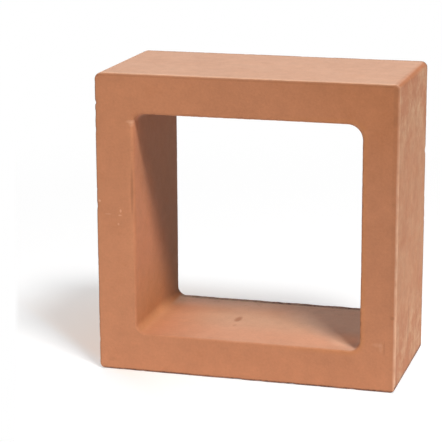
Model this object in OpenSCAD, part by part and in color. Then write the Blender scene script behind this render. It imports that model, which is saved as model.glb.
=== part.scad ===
// Terracotta screen block: a square frame of fired clay with one square opening through it.
// Millimetres. The origin is the middle of the bottom bed face, +Z is up and the front faces -Y.

/* [Block] */
// Width, from the left side to the right side
block_w = 200; // [150:1:300]
// Height, from the bottom bed face to the top bed face
block_h = 200; // [150:1:300]
// Depth, from the front face to the rear face
block_d = 100; // [50:1:150]

/* [Walls] */
// Thickness of the left wall
left_wall = 26.5; // [18:0.5:40]
// Thickness of the right wall
right_wall = 23.5; // [18:0.5:40]
// Thickness of the top wall
top_wall = 26.5; // [18:0.5:40]
// Thickness of the bottom wall
bottom_wall = 26.5; // [18:0.5:40]

/* [Corners] */
// Radius of the four outer corners, which run from front to rear
corner_r = 5; // [3:0.5:15]
// Radius of the four inner corners of the opening
opening_r = 7.5; // [3:0.5:20]

/* [Edges] */
// Radius of the soft outer edge round the front face and the rear face
edge_r = 1.2; // [0.5:0.1:2.5]
// Radius of the lip where the opening meets the front face and the rear face
lip_r = 1.5; // [0.5:0.1:3]

/* [Hidden] */
opening_w = block_w - left_wall - right_wall;
opening_h = block_h - top_wall - bottom_wall;
opening_x = (left_wall - right_wall) / 2;
opening_z = bottom_wall + opening_h / 2;
cut_past = 2;      // how far a cutting shape runs past the face that it cuts
$fn = 64;

// The clay outside a rounded edge of radius r. The sharp edge is at the origin, and the body
// lies towards -X and -Y.
module edge_waste(r) {
    difference() {
        translate([-r, -r]) square(r + cut_past);
        translate([-r, -r]) circle(r);
    }
}

// The clay that a rounded lip of radius r takes off. The wall is the line X = 0, and the face
// is the line Y = 0.
module lip_waste(r) {
    difference() {
        translate([0, -r]) square([r, r + cut_past]);
        translate([r, -r]) circle(r);
    }
}

// Half section of the body: X runs outwards from its middle and Y through the depth.
module body_section(reach) {
    difference() {
        translate([0, -block_d / 2]) square([reach, block_d]);
        for (face = [0, 1])
            mirror([0, face]) translate([reach, block_d / 2]) edge_waste(edge_r);
    }
}

// Half section of the opening, which widens into its lip at both faces.
module opening_section(reach) {
    translate([0, -block_d / 2 - cut_past]) square([reach, block_d + 2 * cut_past]);
    for (face = [0, 1])
        mirror([0, face]) translate([reach, block_d / 2]) lip_waste(lip_r);
}

module half_section(reach, is_opening) {
    if (is_opening) opening_section(reach);
    else body_section(reach);
}

module full_section(width, is_opening) {
    for (half = [0, 180]) rotate(half) half_section(width / 2, is_opening);
}

// One rounded corner: a quarter turn of the half section about the corner's own axis.
module turned_corner(r, is_opening) {
    rotate([90, 0, 0]) rotate_extrude(angle = 90) half_section(r, is_opening);
}

// A w by h rectangle with corners of radius r, as a solid whose edges keep one section all the
// way round: one bar across, one bar upright and a turned corner between each pair of ends.
module rounded_frame_solid(w, h, r, is_opening) {
    rotate([0, -90, 0]) linear_extrude(w - 2 * r, center = true) full_section(h, is_opening);
    linear_extrude(h - 2 * r, center = true) full_section(w, is_opening);
    for (side = [0, 1], bed = [0, 1])
        mirror([side, 0, 0]) mirror([0, 0, bed])
            translate([w / 2 - r, 0, h / 2 - r]) turned_corner(r, is_opening);
}

module screen_block() {
    color("#c1825f") difference() {
        translate([0, 0, block_h / 2])
            rounded_frame_solid(block_w, block_h, corner_r, false);
        translate([opening_x, 0, opening_z])
            rounded_frame_solid(opening_w, opening_h, opening_r, true);
    }
}

screen_block();
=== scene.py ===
"""A fired-clay screen block: one square frame of terracotta with a square opening through it.

Metres. The origin is the middle of the bottom bed face, +Z is up and the front faces -Y.
"""

import math

import bmesh
import bpy
from mathutils import Matrix, Vector, noise


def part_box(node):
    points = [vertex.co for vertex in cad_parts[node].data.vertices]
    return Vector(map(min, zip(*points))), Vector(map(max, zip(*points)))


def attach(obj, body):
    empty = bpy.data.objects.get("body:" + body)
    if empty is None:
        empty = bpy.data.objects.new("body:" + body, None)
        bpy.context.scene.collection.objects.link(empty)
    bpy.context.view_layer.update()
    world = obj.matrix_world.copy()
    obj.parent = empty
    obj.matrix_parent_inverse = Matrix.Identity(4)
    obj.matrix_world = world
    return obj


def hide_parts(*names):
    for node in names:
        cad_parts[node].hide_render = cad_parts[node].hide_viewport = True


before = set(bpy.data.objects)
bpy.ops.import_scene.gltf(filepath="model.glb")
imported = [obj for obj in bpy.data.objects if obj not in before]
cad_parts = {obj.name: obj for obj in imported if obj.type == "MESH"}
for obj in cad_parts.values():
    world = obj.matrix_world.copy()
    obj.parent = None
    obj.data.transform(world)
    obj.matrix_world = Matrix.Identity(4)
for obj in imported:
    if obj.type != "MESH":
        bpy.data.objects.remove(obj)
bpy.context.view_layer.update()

MM = 0.001

# ---------------------------------------------------------------- sizes

LOW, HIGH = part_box("screen_block")
WIDTH, DEPTH, HEIGHT = HIGH - LOW
LEFT_WALL = 26.5 * MM
RIGHT_WALL = 23.5 * MM
TOP_WALL = 26.5 * MM
BOTTOM_WALL = 26.5 * MM

# The opening in the front face, from its left wall to its right and from its sill to its head
OPEN_LEFT = LOW.x + LEFT_WALL
OPEN_RIGHT = HIGH.x - RIGHT_WALL
OPEN_SILL = LOW.z + BOTTOM_WALL
OPEN_HEAD = HIGH.z - TOP_WALL

# Corner radii in the order bottom left, bottom right, top right, top left
OUTER_RADII = (3.8 * MM, 3.2 * MM, 3.2 * MM, 5.0 * MM)
OPENING_RADII = (6.0 * MM, 6.0 * MM, 9.5 * MM, 6.5 * MM)
EDGE_RADIUS = 0.7 * MM
LIP_RADIUS = 1.2 * MM

# The plain radii by which wear and colour measure how far a point is from an edge or a lip
EVEN_OUTER_RADIUS = 4.0 * MM
EVEN_OPENING_RADIUS = 7.0 * MM

# How finely the mesh is divided: along a straight, round a corner, over a rim, through the depth,
# across a wall, and in the narrow strip that runs beside each rim
SIDE_STEPS = 150
CORNER_STEPS = 10
RIM_STEPS = 5
DEPTH_ROWS = 44
FACE_ROWS = 9
STRIP = 2.0 * MM
STRIP_ROWS = 4

# The weights of width, depth and height in the number by which the mesh is listed
ORDER = Vector((1, 1000, 1000000))

# How far the rows along the depth are gathered towards the faces: 0 leaves them even
GATHERED = 0.75
# An edge that turns by more than this, in radians, is a rim of the front or the rear face
RIM_ANGLE = 1.0

# ---------------------------------------------------------------- the block's mesh


def rounded_outline(bm, left, right, sill, head, radii):
    """A closed line in the front plane with a rounded corner at each end of its four straights."""
    corners = [bm.verts.new((x, LOW.y, z)) for x, z in
               ((left, sill), (right, sill), (right, head), (left, head))]
    panel = bm.faces.new(corners)
    known = set(bm.edges) - set(panel.edges)
    for corner, radius in zip(corners, radii):
        bmesh.ops.bevel(bm, geom=[corner], offset=radius, offset_type="OFFSET", profile=0.5,
                        segments=CORNER_STEPS, affect="VERTICES", material=-1)
    straights = [edge for edge in bm.edges
                 if edge not in known and edge.calc_length() > 0.3 * (right - left)]
    bmesh.ops.delete(bm, geom=list(bm.faces), context="FACES_ONLY")
    bmesh.ops.subdivide_edges(bm, edges=straights, cuts=SIDE_STEPS - 1)
    return [edge for edge in bm.edges if edge not in known]


def along_depth(edge):
    """True for an edge that runs from the front face to the rear face."""
    a, b = (vert.co for vert in edge.verts)
    return abs(b.y - a.y) > 0.5 * DEPTH


def across_wall(edge):
    """True for an edge that runs across a wall, in the plane of the front or the rear face."""
    a, b = (vert.co for vert in edge.verts)
    return abs(b.y - a.y) < MM and (b - a).length > 0.5 * min(LEFT_WALL, RIGHT_WALL)


def on_opening(edge):
    """True for an edge on the outline of the opening."""
    middle = (edge.verts[0].co + edge.verts[1].co) / 2
    return (OPEN_LEFT - MM < middle.x < OPEN_RIGHT + MM
            and OPEN_SILL - MM < middle.z < OPEN_HEAD + MM)


def build_block():
    """The frame: the front face between its two outlines, drawn back through the depth."""
    bm = bmesh.new()
    outer = rounded_outline(bm, LOW.x, HIGH.x, LOW.z, HIGH.z, OUTER_RADII)
    inner = rounded_outline(bm, OPEN_LEFT, OPEN_RIGHT, OPEN_SILL, OPEN_HEAD, OPENING_RADII)
    bmesh.ops.bridge_loops(bm, edges=outer + inner)
    drawn = bmesh.ops.extrude_face_region(bm, geom=list(bm.faces), use_keep_orig=True)["geom"]
    bmesh.ops.translate(bm, vec=(0, DEPTH, 0),
                        verts=[part for part in drawn if isinstance(part, bmesh.types.BMVert)])
    bmesh.ops.recalc_face_normals(bm, faces=list(bm.faces))
    rims = [edge for edge in bm.edges
            if edge.calc_face_angle(0) > RIM_ANGLE and not along_depth(edge)]
    lips = [edge for edge in rims if on_opening(edge)]
    edges = [edge for edge in rims if not on_opening(edge)]
    for rim, radius in ((edges, EDGE_RADIUS), (lips, LIP_RADIUS)):
        bmesh.ops.bevel(bm, geom=rim, offset=radius, offset_type="OFFSET", segments=RIM_STEPS,
                        profile=0.5, affect="EDGES", clamp_overlap=True, material=-1)
    flat = [face for face in bm.faces if abs(face.normal.y) > 0.999]
    strips = set(bmesh.ops.inset_region(bm, faces=flat, thickness=STRIP, use_boundary=True,
                                        use_even_offset=True)["faces"])
    across_strips = [edge for edge in bm.edges if all(face in strips for face in edge.link_faces)]
    for cut, rows in ((across_strips, STRIP_ROWS),
                      ([edge for edge in bm.edges if across_wall(edge)], FACE_ROWS),
                      ([edge for edge in bm.edges if along_depth(edge)], DEPTH_ROWS)):
        bmesh.ops.subdivide_edges(bm, edges=cut, cuts=rows - 1, use_grid_fill=True)
    gather_rows(bm)
    return bm


def gather_rows(bm):
    """Moves the rows along the depth closer together towards the front and the rear face."""
    reach = 0.5 * DEPTH - LIP_RADIUS
    for vert in bm.verts:
        share = vert.co.y / reach
        if abs(share) < 1:
            gathered = math.sin(share * math.pi / 2)
            vert.co.y = reach * (GATHERED * gathered + (1 - GATHERED) * share)


def way_out(point, left, right, sill, head, radius):
    """How far a point lies inside a rounded rectangle, and the shortest way out of it."""
    side = math.copysign(1, point.x - (left + right) / 2)
    rise = math.copysign(1, point.z - (sill + head) / 2)
    past_x = abs(point.x - (left + right) / 2) - (right - left) / 2 + radius
    past_z = abs(point.z - (sill + head) / 2) - (head - sill) / 2 + radius
    if past_x > 0 and past_z > 0:
        way = Vector((side * past_x, 0, rise * past_z)).normalized()
        return radius - math.hypot(past_x, past_z), way
    if past_x > past_z:
        return radius - past_x, Vector((side, 0, 0))
    return radius - past_z, Vector((0, 0, rise))


# ---------------------------------------------------------------- wear

# How far the opening widens from the front face to the rear one
LEFT_DRAFT = 1.6 * MM
SILL_DRAFT = 0.7 * MM

# How far from its edge each kind of wear reaches
EDGE_REACH = 3.2 * MM
LIP_REACH = 2.4 * MM
SOFT_LIP_REACH = 4.5 * MM
BLUNT_REACH = 5.0 * MM
RAGGED_REACH = 3.0 * MM

# How deep the wear goes, in millimetres
WAVES = 0.13
EDGE_WEAR = 0.9
LIP_WEAR = 0.5
SOFT_LIP_WEAR = 0.7
BLUNT_WEAR = 0.7
RAGGED_WEAR = 0.9
JAGGED_WEAR = 1.1

# How much of an edge is rubbed everywhere, how much more in patches, and how much is chipped
LEAST_RUBBED = 0.14
PATCH_RUBBED = 0.3
CHIPPED = 0.9

# Levels under which a pattern leaves no chip, jag or bite
CHIP_LEVEL = 0.22
JAG_LEVEL = 0.05
BITE_LEVEL = -0.25

# How fine each pattern of wear is, in turns a metre, and how strong the quick waves are
SLOW_WAVES = 17
QUICK_WAVES = 80
QUICK_SHARE = 0.27
RUBBED_PATCHES = 45
CHIPS = 230
JAGS = 300
BITES = 260
LUMPS = 110

# Moves one pattern away from another, so that the two don't fall together
JAGS_SHIFT = Vector((0, 5, 0))
BITES_SHIFT = Vector((5, 0, 0))
LUMPS_SHIFT = Vector((0, 3, 0))

# Marks pressed into the clay: the middle and the half sizes of each, and how far it goes in
SILL_MARK = Vector((-17.5 * MM, 0, OPEN_SILL))
EDGE_NOTCH = Vector((LOW.x, LOW.y, 180 * MM))
REAR_NICK = Vector((HIGH.x, HIGH.y, 140 * MM))
SIDE_SCORE = Vector((HIGH.x, -4 * MM, 33 * MM))
LIP_CREASE = Vector((OPEN_LEFT - 1.9 * MM, LOW.y, 122.5 * MM))
DENTS = (
    (SILL_MARK, Vector((3.2, 8.5, 3.0)) * MM, Vector((0, 0, -0.5)) * MM),
    (EDGE_NOTCH, Vector((3.0, 3.0, 1.8)) * MM, Vector((0.75, 0.5, 0)) * MM),
    (REAR_NICK, Vector((3.0, 4.0, 2.4)) * MM, Vector((-0.7, -0.5, 0)) * MM),
    (SIDE_SCORE, Vector((3.0, 1.8, 24.0)) * MM, Vector((-0.3, 0, 0)) * MM),
    (LIP_CREASE, Vector((1.4, 3.0, 22.0)) * MM, Vector((0, 0.25, 0)) * MM),
)


def smooth_step(value, start, end):
    """Goes smoothly from 0 to 1 as the value goes from start to end."""
    share = min(max((value - start) / (end - start), 0.0), 1.0)
    return share * share * (3 - 2 * share)


def near(distance, reach):
    """1 at no distance, falling to 0 at the reach."""
    return (1 - smooth_step(distance, 0, reach)) ** 2


def dent(point):
    """How far the pressed marks move a point."""
    move = Vector()
    for centre, radii, push in DENTS:
        away = point - centre
        reach = Vector((away.x / radii.x, away.y / radii.y, away.z / radii.z)).length
        move += push * (1 - smooth_step(reach, 0.0, 1.0))
    return move


def damage(point, from_lip):
    """How much deeper the lips are worn than by rubbing: soft and jagged in front, ragged behind.

    The depth is in millimetres, and ragged wear is only along the rear of the sill.
    """
    if point.y >= 0:
        on_sill = 1 - smooth_step(abs(point.z - OPEN_SILL), 2 * MM, 4 * MM)
        bites = (0.6 * noise.noise(point * BITES + BITES_SHIFT)
                 + 0.8 * noise.noise(point * LUMPS + LUMPS_SHIFT))
        return (RAGGED_WEAR * near(from_lip, RAGGED_REACH) * on_sill
                * max(bites - BITE_LEVEL, 0.0))
    beside_left = 1 - smooth_step(point.x, OPEN_LEFT, OPEN_LEFT + 3 * MM)
    high_up = 0.3 + 0.7 * smooth_step(point.z, 0.25 * HEIGHT, 0.55 * HEIGHT)
    soft = SOFT_LIP_WEAR * near(from_lip, SOFT_LIP_REACH) * beside_left * high_up
    right_or_head = max(smooth_step(point.x, OPEN_RIGHT - 8 * MM, OPEN_RIGHT),
                        smooth_step(point.z, OPEN_HEAD - 8 * MM, OPEN_HEAD))
    jags = max(noise.noise(point * JAGS + JAGS_SHIFT) - JAG_LEVEL, 0.0)
    return soft + JAGGED_WEAR * near(from_lip, LIP_REACH) * right_or_head * jags


def rub(point):
    """How far wear moves a point: rubbed and chipped edges and lips, and one blunted edge."""
    from_face = min(point.y - LOW.y, HIGH.y - point.y)
    face_way = Vector((0, math.copysign(1, point.y), 0))
    from_side, side_way = way_out(point, LOW.x, HIGH.x, LOW.z, HIGH.z, EVEN_OUTER_RADIUS)
    into_lip, lip_way = way_out(point, OPEN_LEFT, OPEN_RIGHT, OPEN_SILL, OPEN_HEAD,
                                EVEN_OPENING_RADIUS)
    from_edge = max(from_face, from_side)
    from_lip = max(from_face, -into_lip)

    rubbed = LEAST_RUBBED + PATCH_RUBBED * max(noise.noise(point * RUBBED_PATCHES), 0.0)
    chipped = CHIPPED * max(noise.noise(point * CHIPS) - CHIP_LEVEL, 0.0)
    edge_depth = EDGE_WEAR * near(from_edge, EDGE_REACH) * (rubbed + chipped)
    if point.y < 0:
        edge_depth *= 1 - 0.8 * smooth_step(point.z, HIGH.z - 6 * MM, HIGH.z - 3 * MM)
    lip_depth = LIP_WEAR * near(from_lip, LIP_REACH) * (rubbed + chipped) + damage(point, from_lip)

    from_arris = math.hypot(HIGH.x - point.x, HIGH.z - point.z)
    blunt = (BLUNT_WEAR * (1 - smooth_step(from_arris, 0, BLUNT_REACH))
             * smooth_step(point.y, LOW.y + 2 * MM, HIGH.y))
    return -MM * ((side_way + face_way).normalized() * edge_depth
                  + (face_way - lip_way).normalized() * lip_depth
                  + Vector((1, 0, 1)).normalized() * blunt)


def widen_opening(point):
    """The opening's left wall and its sill draw back a little towards the rear face."""
    back = (point.y - LOW.y) / DEPTH
    if point.x < OPEN_LEFT:
        left_share = (point.x - LOW.x) / (OPEN_LEFT - LOW.x)
    else:
        left_share = max(OPEN_RIGHT - point.x, 0) / (OPEN_RIGHT - OPEN_LEFT)
    if point.z < OPEN_SILL:
        sill_share = (point.z - LOW.z) / (OPEN_SILL - LOW.z)
    else:
        sill_share = max(OPEN_HEAD - point.z, 0) / (OPEN_HEAD - OPEN_SILL)
    return Vector((-LEFT_DRAFT * left_share * back, 0, -SILL_DRAFT * sill_share * back))


def weather(bm):
    """Wears the block inwards only, so that it stays inside its outline."""
    bm.normal_update()
    moves = []
    for vert in bm.verts:
        slow = 1 + noise.noise(vert.co * SLOW_WAVES)
        quick = 1 + noise.noise(vert.co * QUICK_WAVES)
        waves = (slow + QUICK_SHARE * quick) * WAVES * MM
        moves.append(widen_opening(vert.co) + rub(vert.co) + dent(vert.co) - vert.normal * waves)
    for vert, move in zip(bm.verts, moves):
        vert.co += move


def put_in_order(bm):
    """Lists the corners, edges and faces by their places, so that every run lists them alike."""
    bm.verts.sort(key=lambda vert: vert.co.dot(ORDER))
    bm.edges.sort(key=lambda edge: (edge.verts[0].co + edge.verts[1].co).dot(ORDER))
    bm.faces.sort(key=lambda face: face.calc_center_median().dot(ORDER))


def make_object(name, bm):
    """A bmesh as a smooth-shaded object at the origin."""
    mesh = bpy.data.meshes.new(name)
    bm.to_mesh(mesh)
    bm.free()
    mesh.polygons.foreach_set("use_smooth", [True] * len(mesh.polygons))
    piece = bpy.data.objects.new(name, mesh)
    bpy.context.scene.collection.objects.link(piece)
    return piece


block_mesh = build_block()
weather(block_mesh)
put_in_order(block_mesh)
block = make_object("fired_clay_block", block_mesh)
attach(block, "root")
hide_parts("screen_block")

# ---------------------------------------------------------------- shader maths

# The Mix node's sockets for colours, which share their names with those for numbers and vectors
MIX_AMOUNT = 0
MIX_BASE = 6
MIX_OVER = 7
MIX_RESULT = 2


class Value:
    """One output of a shader node. Arithmetic on it adds the Math nodes."""

    def __init__(self, shader, socket):
        self.shader = shader
        self.socket = socket

    def math(self, operation, *others):
        """A Math node that starts from this value."""
        return self.shader.math(operation, self, *others)

    def __add__(self, other):
        return self.shader.math("ADD", self, other)

    __radd__ = __add__

    def __sub__(self, other):
        return self.shader.math("SUBTRACT", self, other)

    def __rsub__(self, other):
        return self.shader.math("SUBTRACT", other, self)

    def __mul__(self, other):
        return self.shader.math("MULTIPLY", self, other)

    __rmul__ = __mul__

    def __truediv__(self, other):
        return self.shader.math("DIVIDE", self, other)

    def __abs__(self):
        return self.shader.math("ABSOLUTE", self)


class Shader:
    """The nodes of one material, or of the world."""

    def __init__(self, owner):
        owner.use_nodes = True
        self.tree = owner.node_tree
        self.tree.nodes.clear()

    def node(self, kind, settings=None, sockets=None, output=0):
        """One node: its settings first, then a value or a link for each named socket."""
        made = self.tree.nodes.new("ShaderNode" + kind)
        for name, value in (settings or {}).items():
            setattr(made, name, value)
        for name, value in (sockets or {}).items():
            if isinstance(value, Value):
                self.tree.links.new(value.socket, made.inputs[name])
            else:
                made.inputs[name].default_value = value
        return Value(self, made.outputs[output]) if made.outputs else None

    def math(self, operation, *values):
        """A Math node on numbers and values."""
        return self.node("Math", {"operation": operation}, dict(enumerate(values)))

    def rise(self, value, start, end, low=0.0, high=1.0):
        """Goes smoothly from low to high as the value goes from start to end."""
        return self.node("MapRange", {"interpolation_type": "SMOOTHSTEP"},
                         {"Value": value, "From Min": start, "From Max": end,
                          "To Min": low, "To Max": high})

    def noise(self, at, scale, detail=2.0, roughness=0.5, stretch=(1, 1, 1), shift=0.0):
        """Soft noise round zero, about -1 to 1. The scale is in turns a metre."""
        moved = self.node("Mapping", {}, {"Vector": at, "Location": (shift, 0.7 * shift, -shift),
                                          "Scale": tuple(scale * s for s in stretch)})
        found = self.node("TexNoise", {"normalize": True},
                          {"Vector": moved, "Scale": 1.0, "Detail": detail, "Roughness": roughness})
        return (found - 0.5) * 2

    def mix(self, base, over, amount, blend="MIX"):
        """Two colours, the second laid over the first."""
        return self.node("Mix", {"data_type": "RGBA", "blend_type": blend},
                         {MIX_AMOUNT: amount, MIX_BASE: base, MIX_OVER: over}, MIX_RESULT)

    def vector(self, operation, *values):
        """A Vector Math node on vectors."""
        return self.node("VectorMath", {"operation": operation}, dict(enumerate(values)))

    def length(self, value):
        """How long a vector is."""
        return self.node("VectorMath", {"operation": "LENGTH"}, {0: value}, "Value")

    def scaled(self, colour, amount):
        """A colour made lighter or darker."""
        return self.node("VectorMath", {"operation": "SCALE"}, {0: colour, "Scale": amount})

    def parts(self, vector):
        """The x, y and z of a vector."""
        return [self.node("SeparateXYZ", {}, {0: vector}, axis) for axis in range(3)]


# ---------------------------------------------------------------- terracotta

CLAY = (0.547, 0.228, 0.117, 1.0)
CLAY_DEEP = (0.48, 0.178, 0.08, 1.0)
CLAY_PALE = (0.665, 0.4, 0.28, 1.0)
CLAY_BLOOM = (0.68, 0.415, 0.25, 1.0)
# Grey dust, also used as painted fill light in the sill's shade
CLAY_ASH_AND_PAINTED_FILL = (0.67, 0.48, 0.37, 1.0)
# Pale clay for rubbed edges and scuffs, also used for painted highlights and a painted light spot
CLAY_RUBBED_AND_PAINTED_LIGHT = (0.78, 0.46, 0.3, 1.0)
CLAY_FLUSHED = (0.6, 0.24, 0.1, 1.0)
# Dark brown for the painted shadow inside the opening, and for the darker edges
CLAY_SHADOW_AND_DARK_EDGE = (0.29, 0.145, 0.078, 1.0)
CLAY_BROWN = (0.3, 0.12, 0.06, 1.0)
# Near black for the painted contact shade and the dark line along the rear of the sill
CLAY_CONTACT_SHADE_DARK = (0.13, 0.06, 0.045, 1.0)

# Tints that the clay's colour is multiplied by
TANNED_DUST = (0.86, 0.97, 1.0, 1.0)
TANNED_CORNER = (0.95, 1.0, 0.88, 1.0)
REDDER = (0.99, 0.93, 0.83, 1.0)

# How much each size of mottling lightens or darkens the clay
CLOUDS = 0.06
BLOTCHES = 0.115
GRAIN = 0.085

ROUGHNESS = 0.68
PORE_DEPTH = 0.12 * MM

# How deep into the clay the colour of a mark on the front face goes
MARK_DEPTH = 4.0 * MM


def on_front(x, z, half_width, half_height, strength):
    """A mark on the front face, placed and sized in millimetres, as the two lists hold it."""
    return (Vector((x * MM, LOW.y, z * MM)),
            Vector((half_width * MM, MARK_DEPTH, half_height * MM)), strength)


# Rubbed marks and dark ones, each with its middle, its half sizes and its strength
SCUFFS = (
    on_front(-75.6, 168.5, 4.2, 1.5, 0.3),
    on_front(-75, 167, 2.5, 2.5, 0.2),
    on_front(-83.4, 109, 0.9, 1.5, 0.45),
    on_front(-83.9, 106, 1.6, 0.7, 0.4),
    on_front(-85, 100, 0.9, 1.1, 0.35),
    on_front(-97.8, 115, 1.2, 1.1, 0.5),
    on_front(-92, 106.5, 3.0, 0.7, 0.2),
    on_front(88, 31.5, 4.5, 1.8, 0.15),
    on_front(90.5, 30, 1.8, 4.5, 0.14),
)
STAINS = (
    (SILL_MARK, Vector((3.2, 8.5, 4.0)) * MM, 0.75),
    (Vector((-16 * MM, -15 * MM, OPEN_SILL)), Vector((1.8, 3.5, 3.0)) * MM, 0.25),
    (SIDE_SCORE, Vector((4.0, 2.0, 24.0)) * MM, 0.35),
    (LIP_CREASE, Vector((1.4, 3.0, 21.0)) * MM, 0.5),
    on_front(92.8, 30, 0.9, 6, 0.2),
    on_front(97.6, 50, 1.8, 1.8, 0.4),
    on_front(-91, 7, 3.5, 2.0, 0.15),
    on_front(-98.5, 198, 2.0, 1.5, 0.6),
)


class Place:
    """Where a point of the block is and which way it faces, as values for the material."""

    def __init__(self, shader):
        self.shader = shader
        self.at = shader.node("TexCoord", {}, {}, "Object")
        self.x, self.y, self.z = shader.parts(self.at)
        facing = shader.node("TexCoord", {}, {}, "Normal")
        facing_x, facing_y, facing_z = shader.parts(facing)
        rise = shader.rise
        self.front = rise(facing_y, -0.5, -0.95)
        self.back = rise(facing_y, 0.5, 0.95)
        rightward = rise(facing_x, 0.75, 0.98)
        self.right = rightward * rise(self.x, 0.0, 0.5 * OPEN_RIGHT)
        self.rightward = rise(facing_x, 0.3, 0.6)
        self.inner_left = rightward * rise(self.x, 0.0, 0.5 * OPEN_LEFT)
        upward = rise(facing_z, 0.75, 0.98)
        on_top = rise(self.z, 0.75 * HEIGHT, 0.95 * HEIGHT)
        self.top = upward * on_top
        self.sill = upward * (1.0 - on_top)
        self.from_face = 0.5 * DEPTH - abs(self.y)
        outline = self.past_outline(LOW.x, HIGH.x, LOW.z, HIGH.z, EVEN_OUTER_RADIUS)
        opening = self.past_outline(OPEN_LEFT, OPEN_RIGHT, OPEN_SILL, OPEN_HEAD,
                                    EVEN_OPENING_RADIUS)
        self.from_edge = self.from_face.math("MAXIMUM", outline * -1)
        self.from_lip = self.from_face.math("MAXIMUM", opening)
        self.in_opening = rise(opening, 3 * MM, 1.5 * MM)

    def past_outline(self, left, right, sill, head, radius):
        """How far a point is outside a rounded square that runs from front to rear."""
        middle = ((left + right) / 2, 0, (sill + head) / 2)
        straight = ((right - left) / 2 - radius, DEPTH, (head - sill) / 2 - radius)
        away = self.shader.vector("ABSOLUTE", self.shader.vector("SUBTRACT", self.at, middle))
        past = self.shader.vector("SUBTRACT", away, straight)
        return self.shader.length(self.shader.vector("MAXIMUM", past, (0, 0, 0))) - radius

    def spot(self, centre, radii, softness=0.6):
        """1 inside an ellipsoid and 0 outside it, with a soft edge."""
        offset = self.shader.vector("SUBTRACT", self.at, tuple(centre))
        reach = self.shader.length(self.shader.vector("DIVIDE", offset, tuple(radii)))
        return self.shader.rise(reach, 1.0, 1.0 - softness)


def clay_tone(shader, place_on):
    """How light the bare clay is: painted light, slowly lighter towards the bottom and the left of
    each face (on the top, towards its right) and at the foot of the front, then finer and finer
    mottling.
    """
    at = place_on.at
    clouds = shader.noise(at, 16, 2.0, shift=3.1)
    blotches = shader.noise(at, 120, 4.0, 0.6, shift=7.7)
    grain = shader.noise(at, 620, 2.0, 0.6, shift=1.3)
    # Painted light: these slopes stand for how the lamps fall across each face, and for light
    # thrown up onto the foot of the front
    across_front = place_on.front * shader.rise(place_on.z, 0.0, HEIGHT / 2, 0.2, 0.7)
    painted_bounce_at_foot = place_on.front * shader.rise(place_on.z, 0.2 * HEIGHT, 0.0, 0.0, 0.038)
    painted_light_drift = (place_on.x * (place_on.top * 0.35 - across_front - 0.25)
             - (place_on.z - HEIGHT / 2) * 0.5 + painted_bounce_at_foot)
    return 1.0 + painted_light_drift + clouds * CLOUDS + blotches * BLOTCHES + grain * GRAIN


def dust_and_sheen_on_top(shader, place_on, colour):
    """An even pale film on the top face: settled dust, and a painted sheen of the white backdrop
    seen at a glancing angle.
    """
    film = 0.85 + shader.noise(place_on.at, 40, 3.0, shift=2.2) * 0.12
    return shader.mix(colour, CLAY_PALE, place_on.top * film)


def dust_and_painted_light_on_sill(shader, place_on, colour):
    """Dust in the opening, partly painted light: thin at the left, then pale, and grey towards the
    rear right corner.
    """
    # The pale film is partly dust and partly a painted sheen
    across = shader.rise(place_on.x, OPEN_LEFT, OPEN_LEFT + 60 * MM, 0.05, 0.45)
    pale = shader.mix(colour, CLAY_PALE, place_on.sill * across)
    # Painted fill light: the grey towards the rear right corner and along the rear also lifts the
    # shadow that falls there
    corner = shader.rise(place_on.x + place_on.y * 0.9, 15 * MM, 60 * MM)
    rear = shader.rise(place_on.y, HIGH.y - 35 * MM, HIGH.y - 5 * MM)
    streaks = shader.noise(place_on.at, 70, 3.0, 0.6, (0.6, 1, 1), 4.4)
    ash_and_painted_fill = corner.math("MAXIMUM", rear * 0.85) * (0.9 + streaks * 0.25)
    dusty = shader.mix(pale, CLAY_ASH_AND_PAINTED_FILL, place_on.sill * ash_and_painted_fill)
    # A painted light spot: it softens the edge of the right wall's shadow near the sill's front
    # right corner
    rubbed = place_on.spot((65 * MM, -26 * MM, OPEN_SILL), (15 * MM, 22 * MM, 9 * MM), 0.9)
    dusty = shader.mix(dusty, CLAY_RUBBED_AND_PAINTED_LIGHT, rubbed * (place_on.sill * 0.8))
    tanned = (shader.rise(abs(place_on.y - 2 * MM), 38 * MM, 4 * MM) * place_on.sill
              * shader.rise(place_on.x, OPEN_LEFT, OPEN_LEFT + 50 * MM, 0.3, 1.0))
    return shader.mix(dusty, TANNED_DUST, tanned * (1.0 - corner * 0.8), "MULTIPLY")


def bloom_on_right(shader, place_on, colour):
    """Pale salt bloom in patches and specks on the right side, between patches of bare clay."""
    at = place_on.at
    uneven = 0.35 + shader.rise(abs(place_on.z - HEIGHT / 2), 0.2 * HEIGHT, 0.45 * HEIGHT) * 0.65
    patches = (shader.noise(at, 42, 5.0, 0.65, (1, 1, 1.3), 5.5) * 1.2
               + shader.noise(at, 170, 3.0, 0.6, (1, 1, 1.2), 6.9) * 0.6)
    specks = shader.rise(shader.noise(at, 340, 2.0, 0.5, shift=6.1), 0.15, 0.5) * uneven
    worn_patch = place_on.spot((HIGH.x, 10 * MM, 30 * MM), (9 * MM, 15 * MM, 22 * MM), 0.7)
    high_patch = place_on.spot((HIGH.x, -20 * MM, HIGH.z - 14 * MM),
                               (9 * MM, 24 * MM, 9 * MM), 0.8)
    clusters = worn_patch.math("MAXIMUM", high_patch)
    amount = 0.24 + patches * (uneven * 1.3) + specks * 0.4 + clusters * (0.15 + specks * 0.4)
    return shader.mix(colour, CLAY_BLOOM, place_on.right * amount.math("MAXIMUM", 0.0))


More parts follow.
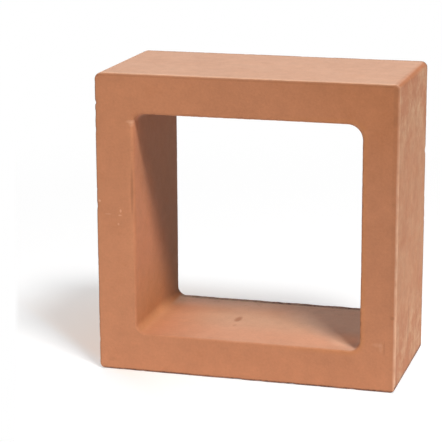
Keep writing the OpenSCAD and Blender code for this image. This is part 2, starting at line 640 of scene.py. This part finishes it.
def painted_shadow_inside(shader, place_on, colour):
    """Painted shadow: the left wall of the opening is darker above a slanting line, where the
    head's shadow falls.
    """
    # The slant follows the edge of the main lamp's shadow on that wall
    slant = place_on.y * 0.84 + place_on.z * 0.54
    behind_front = shader.rise(place_on.y, LOW.y - MM, LOW.y + 18 * MM)
    above = shader.rise(slant, 31 * MM, 68 * MM) * behind_front
    under_head = shader.rise(place_on.z, 0.65 * HEIGHT, OPEN_HEAD, 0.83, 0.74)
    colour = shader.mix(colour, CLAY_SHADOW_AND_DARK_EDGE, place_on.inner_left * above * under_head)
    low_corner = place_on.spot((OPEN_LEFT, 0, OPEN_SILL), (16 * MM, DEPTH, 60 * MM), 0.8)
    inside = (shader.rise(place_on.from_face, 0.0, 5 * MM)
              * shader.rise(place_on.x, LOW.x, OPEN_LEFT))
    tanned = low_corner * inside * (1.0 - place_on.sill * 0.5)
    return shader.mix(colour, TANNED_CORNER, tanned, "MULTIPLY")


def redder_corner(shader, place_on, colour):
    """The clay is fired a little redder towards the top right corner of the front."""
    high = shader.rise(place_on.z, 0.55 * HEIGHT, 0.95 * HEIGHT)
    rightwards = shader.rise(place_on.x, 0.0, HIGH.x, 0.25, 1.0)
    return shader.mix(colour, REDDER, place_on.front * high * rightwards, "MULTIPLY")


def worn_edges(shader, place_on, colour):
    """Edges rubbed pale, above all down the right of the front, with darker clay beside them; also
    painted highlights and painted shade.
    """
    rise = shader.rise
    patchy = 0.6 + shader.noise(place_on.at, 120, 2.0, shift=8.3) * 0.7
    from_right = HIGH.x - place_on.x
    from_top = HIGH.z - place_on.z
    from_front = place_on.y - LOW.y

    flush = rise(place_on.from_lip, 5 * MM, 1 * MM) * rise(place_on.x, 0.0, OPEN_RIGHT)
    colour = shader.mix(colour, CLAY_FLUSHED, flush * place_on.front * 0.6)
    # Painted shade: the lower part of the opening's left lip is darkened against the light the main
    # lamp puts on it
    painted_shade_left_lip = (rise(place_on.from_lip, 3 * MM, 0.5 * MM) * rise(place_on.y, 0.0, LOW.y)
                * rise(place_on.x, OPEN_LEFT + 6 * MM, OPEN_LEFT + MM))
    downwards = rise(place_on.z, HIGH.z, OPEN_SILL, 0.05, 0.2)
    colour = shader.mix(colour, CLAY_BROWN, painted_shade_left_lip * downwards)
    beside_right = rise(abs(from_right - 2.6 * MM), 2.2 * MM, 0.8 * MM)
    beside_top = rise(abs(from_top - 1.4 * MM), 1.1 * MM, 0.5 * MM)
    beside = beside_right.math("MAXIMUM", beside_top) * place_on.front
    upwards = rise(place_on.z, 0.0, HIGH.z, 0.12, 0.33)
    colour = shader.mix(colour, CLAY_BROWN, beside * patchy * upwards)

    # Painted highlight: a pale line on the top face along its front edge
    painted_highlight_crest = place_on.top * rise(from_front, 5.5 * MM, 2 * MM)
    colour = shader.mix(colour, CLAY_RUBBED_AND_PAINTED_LIGHT, painted_highlight_crest * (patchy * 0.5 + 0.35))
    from_arris = shader.length(shader.node("CombineXYZ", {}, {0: from_right, 1: from_top}))
    bare = rise(from_arris, 5 * MM, 2.5 * MM) * (1.0 - place_on.front)
    colour = shader.mix(colour, CLAY_DEEP, bare * (0.2 + patchy * 0.3))

    on_edge = rise(place_on.from_edge, 1.3 * MM, 0.3 * MM)
    on_lip = rise(place_on.from_lip, 1.5 * MM, 0.4 * MM) * rise(place_on.x, OPEN_LEFT, 0.0)
    # The edges at the top are rubbed paler still, partly as a painted highlight
    painted_highlight_top_edge = on_edge * rise(from_top, 3 * MM, 1 * MM)
    rubbed = on_edge.math("MAXIMUM", on_lip * 0.6) * (patchy * 0.3) + painted_highlight_top_edge * (patchy * 0.4)
    # The front right arris: rubbed pale, and partly a painted highlight where the main lamp catches
    # it
    right_arris_wear_and_highlight = (rise(from_right, 2 * MM, 0.7 * MM) * rise(from_front, 3.2 * MM, 1.8 * MM)
                   * rise(place_on.z, HIGH.z, 0.5 * HIGH.z, 0.3, 0.85))
    return shader.mix(colour, CLAY_RUBBED_AND_PAINTED_LIGHT, rubbed.math("MAXIMUM", right_arris_wear_and_highlight * (patchy + 0.15)))


def darker_edges(shader, place_on, colour):
    """The rear edges and the left ones are darker."""
    rise = shader.rise
    patchy = 0.75 + shader.noise(place_on.at, 90, 2.0, shift=6.6) * 0.6
    rear = rise(place_on.y, HIGH.y - 4.5 * MM, HIGH.y - 2 * MM) * (1.0 - place_on.back)
    from_left = place_on.x - LOW.x
    left_of_front = (rise(from_left, 1.4 * MM, 0.5 * MM)
                     * rise(place_on.y, LOW.y + 3 * MM, LOW.y + MM))
    left_of_top = rise(from_left, 4 * MM, 1.5 * MM) * place_on.top
    darker_edge_mask = rear.math("MAXIMUM", left_of_front).math("MAXIMUM", left_of_top)
    return shader.mix(colour, CLAY_SHADOW_AND_DARK_EDGE, darker_edge_mask * (patchy * 0.85))


def contact_shade_and_dark_lines(shader, place_on, colour):
    """Painted contact shade round the bottom, broken into dark crumbs, and dark crumbs along the
    rear of the sill.
    """
    rise = shader.rise
    crumbs = rise(shader.noise(place_on.at, 420, 2.0, 0.6, shift=3.7), -0.2, 0.3)
    lumps = rise(shader.noise(place_on.at, 60, 2.0, shift=1.9), -0.4, 0.3)
    # Painted contact shade: the bottom edges darken where they meet the table, a little higher on
    # the right side
    painted_contact_shade = (rise(place_on.z, 2.0 * MM, 0.8 * MM)
                 .math("MAXIMUM", rise(place_on.z, 5 * MM, 3 * MM) * place_on.rightward))
    on_rear_sill = place_on.sill * rise(place_on.y, HIGH.y - 30 * MM, HIGH.y - 12 * MM)
    pitted = rise(shader.noise(place_on.at, 190, 3.0, 0.7, shift=2.9), 0.05, 0.5)
    colour = shader.mix(colour, CLAY_BROWN, on_rear_sill * pitted * 0.35)
    rear_lip = (rise(place_on.y, HIGH.y - 8.5 * MM, HIGH.y - 5 * MM)
                * rise(abs(place_on.z - OPEN_SILL), 4 * MM, 2 * MM) * place_on.in_opening
                * rise(place_on.x, OPEN_LEFT, 20 * MM, 0.7, 1.0))
    contact_shade_and_dark_line = painted_contact_shade.math("MAXIMUM", rear_lip) * (0.35 + crumbs * 0.4 + lumps * 0.25)
    return shader.mix(colour, CLAY_CONTACT_SHADE_DARK, contact_shade_and_dark_line * (1.0 - place_on.back))


def marks(shader, place_on, colour):
    """Single marks: pale scuffs, and dark stains that also fill the score and the dents."""
    for tone, spots in ((CLAY_RUBBED_AND_PAINTED_LIGHT, SCUFFS), (CLAY_BROWN, STAINS)):
        for centre, radii, strength in spots:
            colour = shader.mix(colour, tone, place_on.spot(centre, radii) * strength)
    return colour


def make_terracotta():
    """Bare fired clay, with everything that has settled on it or rubbed it, painted light and
    shade, and fine pores.
    """
    material = bpy.data.materials.new("fired_clay")
    shader = Shader(material)
    place_on = Place(shader)
    at = place_on.at
    mottle = shader.noise(at, 85, 3.0, shift=7.7)
    grain = shader.noise(at, 650, 2.0, 0.6, shift=1.3)
    colour = shader.mix(CLAY, CLAY_DEEP, shader.rise(mottle + grain * 0.5, 0.1, 0.9, 0.0, 0.4))
    # Among these layers are painted sheen, fill light, shadow, highlights and contact shade
    colour = dust_and_sheen_on_top(shader, place_on, colour)
    colour = dust_and_painted_light_on_sill(shader, place_on, colour)
    colour = bloom_on_right(shader, place_on, colour)
    colour = painted_shadow_inside(shader, place_on, colour)
    colour = redder_corner(shader, place_on, colour)
    colour = worn_edges(shader, place_on, colour)
    colour = darker_edges(shader, place_on, colour)
    colour = contact_shade_and_dark_lines(shader, place_on, colour)
    colour = marks(shader, place_on, colour)
    # The slow slopes in this tone are painted light
    colour = shader.scaled(colour, clay_tone(shader, place_on))

    roughness = ROUGHNESS + mottle * 0.08 + grain * 0.06
    pores = shader.noise(at, 420, 4.0, 0.65, shift=9.2)
    relief = shader.node("Bump", {}, {"Strength": 0.5, "Distance": PORE_DEPTH,
                                      "Height": pores + grain * 0.6})
    surface = shader.node("BsdfPrincipled", {},
                          {"Base Color": colour, "Roughness": roughness, "Normal": relief,
                           "IOR": 1.5, "Specular IOR Level": 0.12})
    shader.node("OutputMaterial", {}, {"Surface": surface})
    return material


block.data.materials.append(make_terracotta())

# ---------------------------------------------------------------- camera

# Millimetres for the lens and the sensor, metres for where the camera stands
LENS = 150.12
SENSOR = 36.0
NEAREST = 0.05
FARTHEST = 60
CAMERA_AT = Vector((0.3016, -1.15733, 0.38952))
LOOK_DOWN = math.radians(13.801)
LOOK_ROUND = math.radians(15.965)
ROLL = math.radians(-0.214)


def make_camera():
    """A long lens from the front, a little to the right and above."""
    data = bpy.data.cameras.new("camera")
    data.lens = LENS
    data.sensor_width = SENSOR
    data.clip_start = NEAREST
    data.clip_end = FARTHEST
    camera = bpy.data.objects.new("camera", data)
    bpy.context.scene.collection.objects.link(camera)
    turn = (Matrix.Rotation(LOOK_ROUND, 4, "Z")
            @ Matrix.Rotation(math.pi / 2 - LOOK_DOWN, 4, "X")
            @ Matrix.Rotation(ROLL, 4, "Z"))
    camera.matrix_world = Matrix.Translation(CAMERA_AT) @ turn
    bpy.context.scene.camera = camera


# ---------------------------------------------------------------- studio

MIDDLE = (LOW + HIGH) / 2
FLOOR_REACH = 6.0
WHITE = (1.0, 1.0, 1.0, 1.0)
TABLE_PAINT = (0.8, 0.8, 0.8, 1.0)

# The main lamp, a weak one behind, and the light thrown up by the table. A lamp stands so many
# degrees round from the front towards the right, and so many up from the floor.
LAMP_DISTANCE = 4.0
KEY_ROUND = 43
KEY_UP = 55
KEY_SIZE = 1.0
KEY_LEVEL = 1.0
BACK_ROUND = 205
BACK_UP = 48
BACK_SIZE = 2.0
BACK_LEVEL = 0.3
BOUNCE_SIZE = 0.7
BOUNCE_LEVEL = 0.25

# The room's own light, which fades out between two heights of the sky
ROOM_LEVEL = 0.07
ROOM_FADE = (0.6, 0.85)

# How much the table shows the shadow, and how much it glows by itself, near the block and to its
# left. Together they come to white where no shadow falls.
SHADE_DEPTH = 0.62
SHADE_LEVEL = 0.49
SHADE_DEPTH_LEFT = 0.47
SHADE_LEVEL_LEFT = 0.55
TO_THE_LEFT = Vector((-0.8, 0.6))
LEFT_FADE = (-20 * MM, 60 * MM)

# The line past which the shadow is cut off, and where the table turns into the white sweep
ALONG_SHADOW = Vector((-0.927, -0.376))
SHADE_END = 166.5 * MM
SHADE_END_FADE = 2 * MM
SWEEP_FADE = (0.35, 0.8)
SWEEP_LEVEL = 0.7

# The shadow is warmed by the block beside it, inside the shadow's own edge line
WARM_REACH = 130 * MM
WARM_TINT = (1.0, 0.83, 0.73, 1.0)
WARM_FADE = (LOW.x + 110 * MM, LOW.x - 20 * MM)
ACROSS_SHADE_EDGE = Vector((0.731, 0.682))
SHADE_EDGE_FADE = (-2 * MM, 14 * MM)


def seen(shader):
    """1 for the rays that show the floor or the backdrop, also in a gloss or through glass."""
    path = [shader.node("LightPath", {}, {}, name)
            for name in ("Is Camera Ray", "Is Glossy Ray", "Is Transmission Ray")]
    return path[0].math("MAXIMUM", path[1]).math("MAXIMUM", path[2])


def along(x, y, way):
    """How far a point of the floor lies along a direction."""
    return x * way.x + y * way.y


def warm_shade(shader, at, x, y):
    """The tint of the light that the clay throws into its own shadow, on the block's left."""
    past = shader.vector("SUBTRACT", shader.vector("ABSOLUTE", at), (WIDTH / 2, DEPTH / 2, 0))
    from_block = shader.length(shader.vector("MAXIMUM", past, (0, 0, 0)))
    warmth = (1.0 - from_block / WARM_REACH).math("MAXIMUM", 0.0)
    past_edge = along(x - LOW.x, y - LOW.y, ACROSS_SHADE_EDGE)
    left_of_block = shader.rise(x, *WARM_FADE) * shader.rise(past_edge, *SHADE_EDGE_FADE)
    return shader.mix(WHITE, WARM_TINT, warmth * left_of_block)


def make_table_material():
    """A white table. The rays that show it see it white, with the block's shadow kept."""
    material = bpy.data.materials.new("white_table")
    shader = Shader(material)
    at = shader.node("TexCoord", {}, {}, "Object")
    x, y, _ = shader.parts(at)
    shown = seen(shader)

    leftward = shader.rise(along(x, y, TO_THE_LEFT), *LEFT_FADE)
    depth = leftward * (SHADE_DEPTH_LEFT - SHADE_DEPTH) + SHADE_DEPTH
    level = leftward * (SHADE_LEVEL_LEFT - SHADE_LEVEL) + SHADE_LEVEL
    paint = shader.node("BsdfDiffuse", {}, {"Color": shader.mix(TABLE_PAINT, depth, shown)})
    glow_colour = shader.scaled(warm_shade(shader, at, x, y), level * shown)
    glow = shader.node("Emission", {}, {"Color": glow_colour, "Strength": 1.0})
    table = shader.node("AddShader", {}, {0: paint, 1: glow})

    sweep_colour = shader.scaled(WHITE[:3], shown * (1 - SWEEP_LEVEL) + SWEEP_LEVEL)
    sweep = shader.node("Emission", {}, {"Color": sweep_colour, "Strength": 1.0})
    past_shade = shader.rise(along(x, y, ALONG_SHADOW),
                             SHADE_END - SHADE_END_FADE, SHADE_END + SHADE_END_FADE)
    on_sweep = shader.rise(shader.length(at), *SWEEP_FADE).math("MAXIMUM", past_shade)
    surface = shader.node("MixShader", {}, {0: on_sweep, 1: table, 2: sweep})
    shader.node("OutputMaterial", {}, {"Surface": surface})
    return material


def make_floor():
    """The table that the block stands on, which isn't part of it."""
    bm = bmesh.new()
    bmesh.ops.create_grid(bm, x_segments=1, y_segments=1, size=FLOOR_REACH)
    floor = make_object("floor", bm)
    floor.data.materials.append(make_table_material())


def make_world():
    """Soft room light, which fades out overhead, with a white backdrop."""
    world = bpy.data.worlds.new("room")
    bpy.context.scene.world = world
    world.cycles.sampling_method = "NONE"
    shader = Shader(world)
    way = shader.node("TexCoord", {}, {}, "Generated")
    up = shader.parts(way)[2]
    room = shader.rise(up, *ROOM_FADE, ROOM_LEVEL, 0.0)
    level = room + seen(shader) * (1.0 - room)
    colour = shader.scaled(WHITE[:3], level)
    light = shader.node("Background", {}, {"Color": colour, "Strength": 1.0})
    shader.node("OutputWorld", {}, {"Surface": light})


def make_lamp(name, size, energy):
    """A round soft lamp that lights the block and isn't seen."""
    data = bpy.data.lights.new(name, "AREA")
    data.shape = "DISK"
    data.size = size
    data.energy = energy
    lamp = bpy.data.objects.new(name, data)
    lamp.visible_camera = False
    lamp.visible_glossy = False
    bpy.context.scene.collection.objects.link(lamp)
    return lamp


def make_far_lamp(name, degrees_round, degrees_up, size, level):
    """Aimed at the block. Level is what it alone shows on a white surface that faces it."""
    lamp = make_lamp(name, size, level * math.pi ** 2 * LAMP_DISTANCE ** 2)
    side = math.radians(degrees_round)
    rise = math.radians(degrees_up)
    way = Vector((math.cos(rise) * math.sin(side),
                  -math.cos(rise) * math.cos(side), math.sin(rise)))
    lamp.location = MIDDLE + way * LAMP_DISTANCE
    lamp.rotation_euler = way.to_track_quat("Z", "Y").to_euler()


def make_studio():
    """The table, the room, two far lamps, and the light that the table throws up."""
    make_floor()
    make_world()
    make_far_lamp("key", KEY_ROUND, KEY_UP, KEY_SIZE, KEY_LEVEL)
    make_far_lamp("back_fill", BACK_ROUND, BACK_UP, BACK_SIZE, BACK_LEVEL)
    bounce_energy = BOUNCE_LEVEL * (math.pi * BOUNCE_SIZE / 2) ** 2
    table_bounce = make_lamp("table_bounce", BOUNCE_SIZE, bounce_energy)
    table_bounce.location = (0, 0, MM)
    table_bounce.rotation_euler = (math.pi, 0, 0)


make_camera()
make_studio()
bpy.context.scene.view_settings.view_transform = "Standard"
